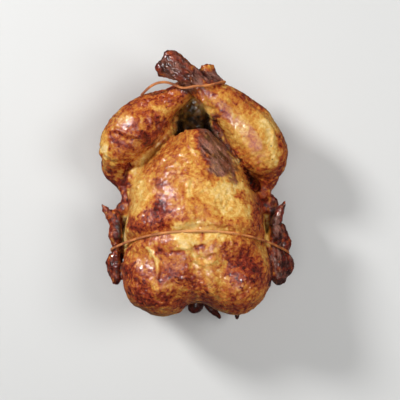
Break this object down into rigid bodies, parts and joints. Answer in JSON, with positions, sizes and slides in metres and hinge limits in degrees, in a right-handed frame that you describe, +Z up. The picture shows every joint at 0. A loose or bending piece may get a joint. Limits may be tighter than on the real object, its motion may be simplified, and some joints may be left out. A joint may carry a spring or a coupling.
{
  "type": "roast chicken",
  "caption": "Whole roast chicken on its back, legs crossed and tied, wings held to the sides by a string round the breast.",
  "frame": {"origin": "on the resting plane, under the middle of the bird's length and width", "axes": "+Z up, breast up; +Y towards the tail end with the crossed legs, -Y towards the neck end; +X to the right in the top view"},
  "size_m": [0.159, 0.2194, 0.1012],
  "materials": {
    "roast_skin": "glossy browned poultry skin, golden to dark brown",
    "trussing_string": "browned, fat-soaked string"
  },
  "bodies": {
    "root": {"roast_chicken": "roast_skin", "body_string": "trussing_string", "leg_string": "trussing_string"}
  },
  "joints": []
}
